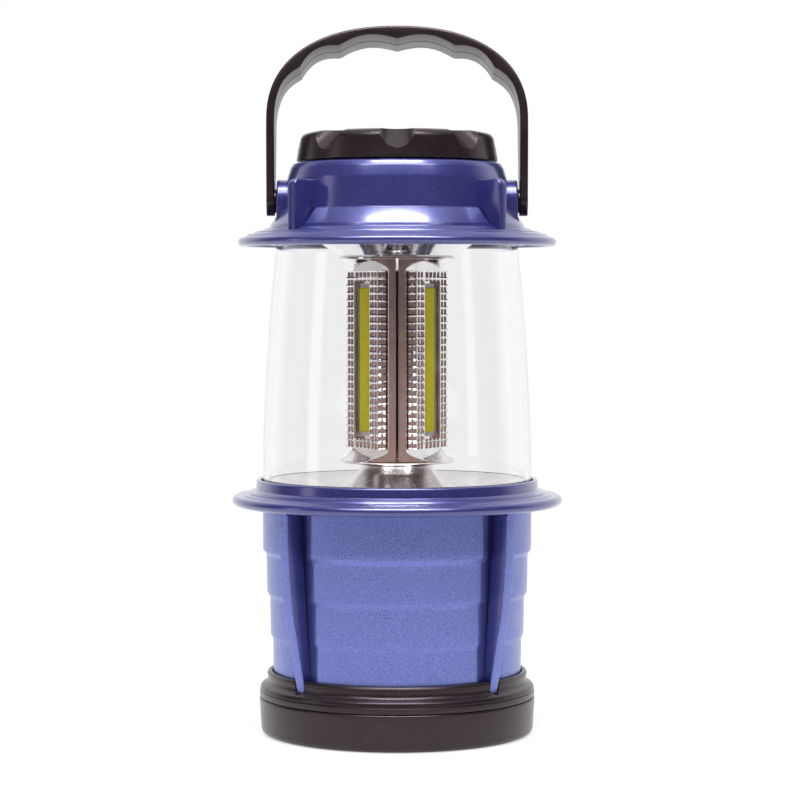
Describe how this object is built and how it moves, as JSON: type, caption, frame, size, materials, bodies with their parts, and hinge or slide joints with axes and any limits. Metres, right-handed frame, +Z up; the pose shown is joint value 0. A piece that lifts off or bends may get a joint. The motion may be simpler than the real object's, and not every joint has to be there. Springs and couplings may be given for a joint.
{
  "type": "camping lantern",
  "caption": "Camping lantern: round ribbed battery base, clear globe over a three-sided LED post, crown with dimmer knob, swinging carrying handle.",
  "frame": {"origin": "centre of the base's underside, on the surface the lantern stands on", "axes": "+Z up through the globe and knob, -Y the front, X parallel to the handle's pivot line"},
  "size_m": [0.1154, 0.1154, 0.2471],
  "materials": {
    "black_plastic": "satin",
    "blue_shell": "satin",
    "blue_gloss": "gloss",
    "globe_clear": "gloss",
    "reflector_chrome": "polished",
    "cob_yellow": "satin",
    "white_plastic": "matte",
    "seal_rubber": "matte",
    "bright_steel": "satin",
    "board": "satin",
    "control": "satin",
    "wire_red": "satin",
    "wire_black": "satin",
    "cell_wrap": "satin"
  },
  "bodies": {
    "lantern_body": {"base_ring": "black_plastic", "cover_seal": "seal_rubber", "lower_housing": "blue_shell", "battery_sleeve": "white_plastic", "flange_ring": "blue_gloss", "globe": "globe_clear", "globe_seal_lower": "seal_rubber", "globe_seal_upper": "seal_rubber", "lower_reflector": "reflector_chrome", "upper_reflector": "reflector_chrome", "led_core": "reflector_chrome", "led_tray_1": "reflector_chrome", "cob_strip_1": "cob_yellow", "led_tray_2": "reflector_chrome", "cob_strip_2": "cob_yellow", "led_tray_3": "reflector_chrome", "cob_strip_3": "cob_yellow", "crown_housing": "blue_gloss", "crown_deck": "white_plastic", "potentiometer": "control", "bushing_nut": "bright_steel", "crown_screw_1": "bright_steel", "deck_screw_1": "bright_steel", "flange_screw_1": "bright_steel", "core_screw_1": "bright_steel", "crown_screw_2": "bright_steel", "deck_screw_2": "bright_steel", "flange_screw_2": "bright_steel", "core_screw_2": "bright_steel", "crown_screw_3": "bright_steel", "deck_screw_3": "bright_steel", "flange_screw_3": "bright_steel", "core_screw_3": "bright_steel", "contact_plate": "white_plastic", "contact_bridge_upper": "bright_steel", "contact_spring_2": "bright_steel", "contact_positive": "bright_steel", "contact_return": "bright_steel", "driver_board": "board", "battery_wire_red": "wire_red", "battery_wire_black": "wire_black", "dimmer_wire_red": "wire_red", "dimmer_wire_black": "wire_black"},
    "dimmer": {"dimmer_knob": "black_plastic", "dimmer_shaft": "bright_steel"},
    "handle": {"handle": "black_plastic"},
    "contact_carrier": {"contact_disc": "white_plastic", "contact_bridge_lower": "bright_steel", "contact_end": "bright_steel", "contact_spring_1": "bright_steel", "contact_spring_3": "bright_steel", "battery_cell_1": "cell_wrap", "battery_cell_2": "cell_wrap", "battery_cell_3": "cell_wrap"},
    "battery_cover": {"battery_cover": "black_plastic"}
  },
  "joints": [
    {"name": "handle_swing", "type": "hinge", "parent": "lantern_body", "child": "handle", "pos_m": [0, 0, 0.186], "axis": [1, 0, 0], "range_deg": [-79, 97]},
    {"name": "dimmer_turn", "type": "hinge", "parent": "lantern_body", "child": "dimmer", "pos_m": [0, 0, 0.2], "axis": [0, 0, -1], "range_deg": [0, 270]},
    {"name": "cover_drop", "type": "slide", "parent": "lantern_body", "child": "contact_carrier", "axis": [0, 0, -1], "range_m": [0, 0.008]},
    {"name": "cover_twist", "type": "hinge", "parent": "contact_carrier", "child": "battery_cover", "pos_m": [0, 0, 0.006], "axis": [0, 0, -1], "range_deg": [0, 241]}
  ],
  "couplings": [
    {"joint": "cover_twist", "follows": "cover_drop", "rad_per_m": 523.6}
  ]
}
